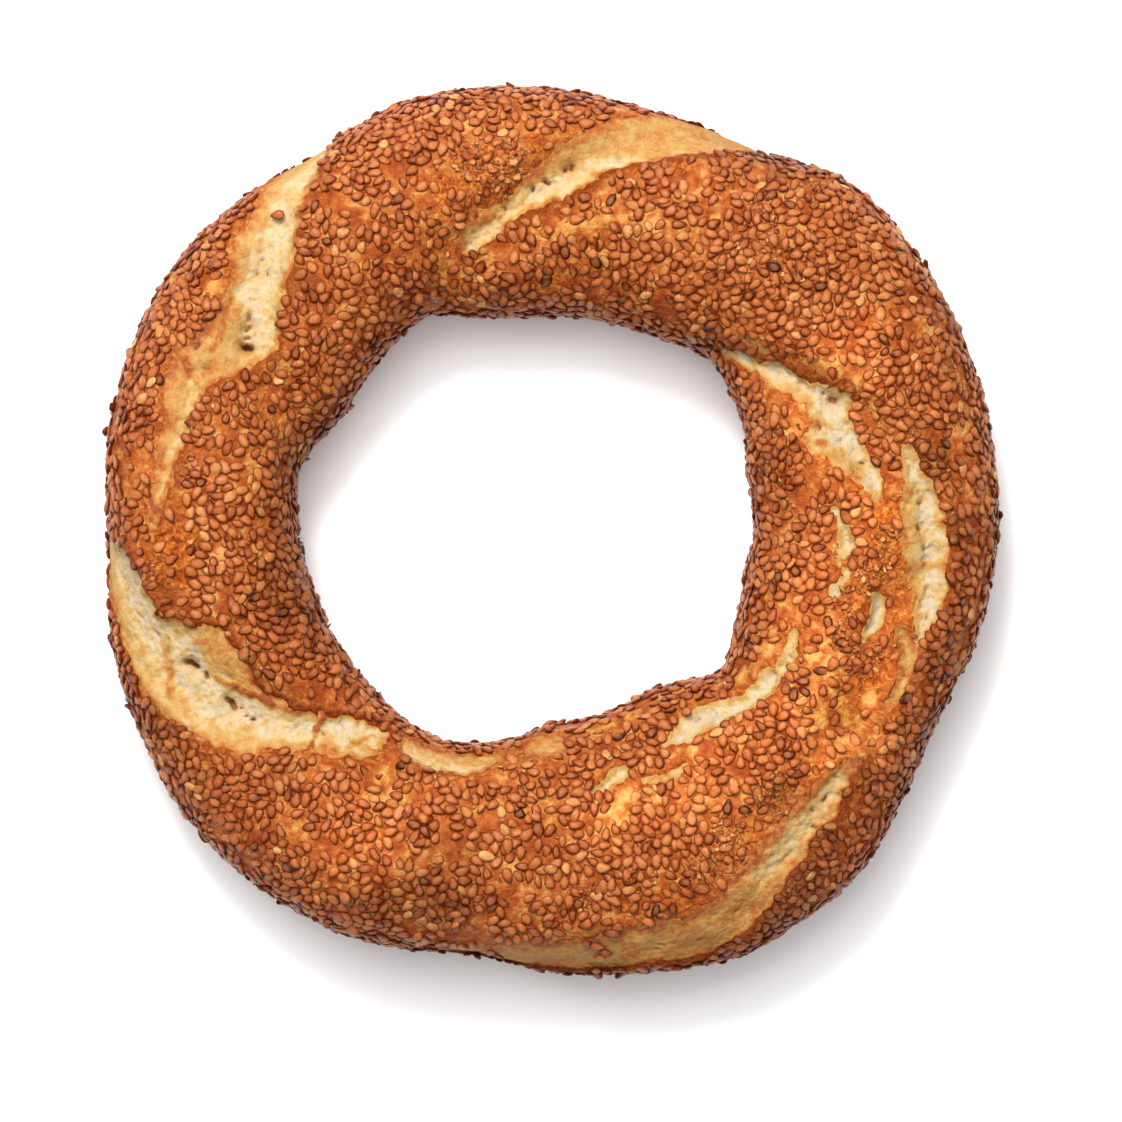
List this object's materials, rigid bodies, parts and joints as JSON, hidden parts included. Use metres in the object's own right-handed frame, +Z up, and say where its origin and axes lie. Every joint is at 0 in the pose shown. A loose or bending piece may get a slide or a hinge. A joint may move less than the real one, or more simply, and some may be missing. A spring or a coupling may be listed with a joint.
{
  "type": "simit bread ring",
  "caption": "Ring of two ropes of dough twisted together, baked brown under a coat of sesame seeds, with pale tears along the seams; eaten by hand.",
  "frame": {"origin": "middle of the ring's box, on the surface it rests on", "axes": "+Z up, through the hole; +Y towards the side with the widest smooth tear"},
  "size_m": [0.1738, 0.1734, 0.0354],
  "materials": {
    "crust": "golden brown baked dough with a thin molasses glaze",
    "crumb": "torn pale crumb, ragged and full of small holes",
    "sesame": "toasted sesame seeds with a slight sheen"
  },
  "bodies": {
    "root": {"simit_ring": "crust"}
  },
  "joints": []
}
